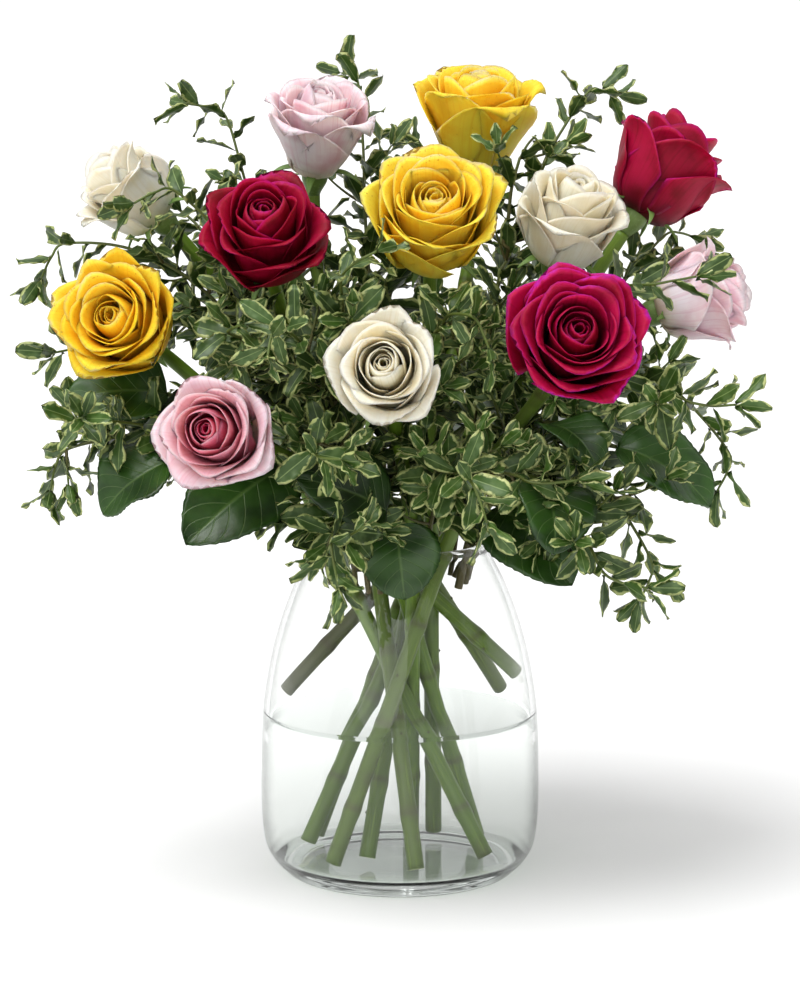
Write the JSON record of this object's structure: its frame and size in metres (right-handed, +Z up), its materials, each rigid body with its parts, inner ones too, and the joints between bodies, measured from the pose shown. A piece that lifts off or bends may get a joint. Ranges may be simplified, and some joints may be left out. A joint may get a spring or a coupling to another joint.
{
  "type": "roses in a vase",
  "caption": "Cut roses in white, pink, yellow and crimson with pittosporum and salal greenery, standing in a clear glass jar vase of water.",
  "frame": {"origin": "centre of the vase's flat underside, where it stands", "axes": "+Z up through the middle of the vase; the bouquet's full side faces -Y, +X to its right seen from there"},
  "size_m": [0.3599, 0.312, 0.4106],
  "materials": {
    "clear_glass": "polished",
    "water": "clear liquid",
    "white_petals": "soft matt",
    "pink_petals": "soft matt",
    "yellow_petals": "soft matt",
    "red_petals": "velvety",
    "rose_stem": "smooth green bark",
    "rose_calyx": "smooth",
    "salal_leaves": "leathery, slightly glossy",
    "pittosporum_leaves": "satin, cream at the edges"
  },
  "bodies": {
    "root": {"vase": "clear_glass", "water": "water", "pink_rose_1_bloom": "pink_petals", "pink_rose_1_calyx": "rose_calyx", "pink_rose_1_stem": "rose_stem", "pink_rose_2_bloom": "pink_petals", "pink_rose_2_calyx": "rose_calyx", "pink_rose_2_stem": "rose_stem", "pink_rose_3_bloom": "pink_petals", "pink_rose_3_calyx": "rose_calyx", "pink_rose_3_stem": "rose_stem", "pittosporum_branch_back_left": "pittosporum_leaves", "pittosporum_branch_back_right": "pittosporum_leaves", "pittosporum_branch_drooping": "pittosporum_leaves", "pittosporum_branch_far_left": "pittosporum_leaves", "pittosporum_branch_front_left": "pittosporum_leaves", "pittosporum_branch_front_right": "pittosporum_leaves", "pittosporum_branch_left": "pittosporum_leaves", "pittosporum_branch_lower_left": "pittosporum_leaves", "pittosporum_branch_lower_right": "pittosporum_leaves", "pittosporum_branch_middle_left": "pittosporum_leaves", "pittosporum_branch_middle_right": "pittosporum_leaves", "pittosporum_branch_right": "pittosporum_leaves", "pittosporum_branch_top": "pittosporum_leaves", "pittosporum_branch_upper_left": "pittosporum_leaves", "pittosporum_branch_upper_right": "pittosporum_leaves", "red_rose_1_bloom": "red_petals", "red_rose_1_calyx": "rose_calyx", "red_rose_1_stem": "rose_stem", "red_rose_2_bloom": "red_petals", "red_rose_2_calyx": "rose_calyx", "red_rose_2_stem": "rose_stem", "red_rose_3_bloom": "red_petals", "red_rose_3_calyx": "rose_calyx", "red_rose_3_stem": "rose_stem", "salal_branch_back_left": "salal_leaves", "salal_branch_back_right": "salal_leaves", "salal_branch_far_right": "salal_leaves", "salal_branch_front": "salal_leaves", "salal_branch_left": "salal_leaves", "salal_branch_right": "salal_leaves", "salal_branch_upper_left": "salal_leaves", "white_rose_1_bloom": "white_petals", "white_rose_1_calyx": "rose_calyx", "white_rose_1_stem": "rose_stem", "white_rose_2_bloom": "white_petals", "white_rose_2_calyx": "rose_calyx", "white_rose_2_stem": "rose_stem", "white_rose_3_bloom": "white_petals", "white_rose_3_calyx": "rose_calyx", "white_rose_3_stem": "rose_stem", "yellow_rose_1_bloom": "yellow_petals", "yellow_rose_1_calyx": "rose_calyx", "yellow_rose_1_stem": "rose_stem", "yellow_rose_2_bloom": "yellow_petals", "yellow_rose_2_calyx": "rose_calyx", "yellow_rose_2_stem": "rose_stem", "yellow_rose_3_bloom": "yellow_petals", "yellow_rose_3_calyx": "rose_calyx", "yellow_rose_3_stem": "rose_stem"}
  },
  "joints": []
}
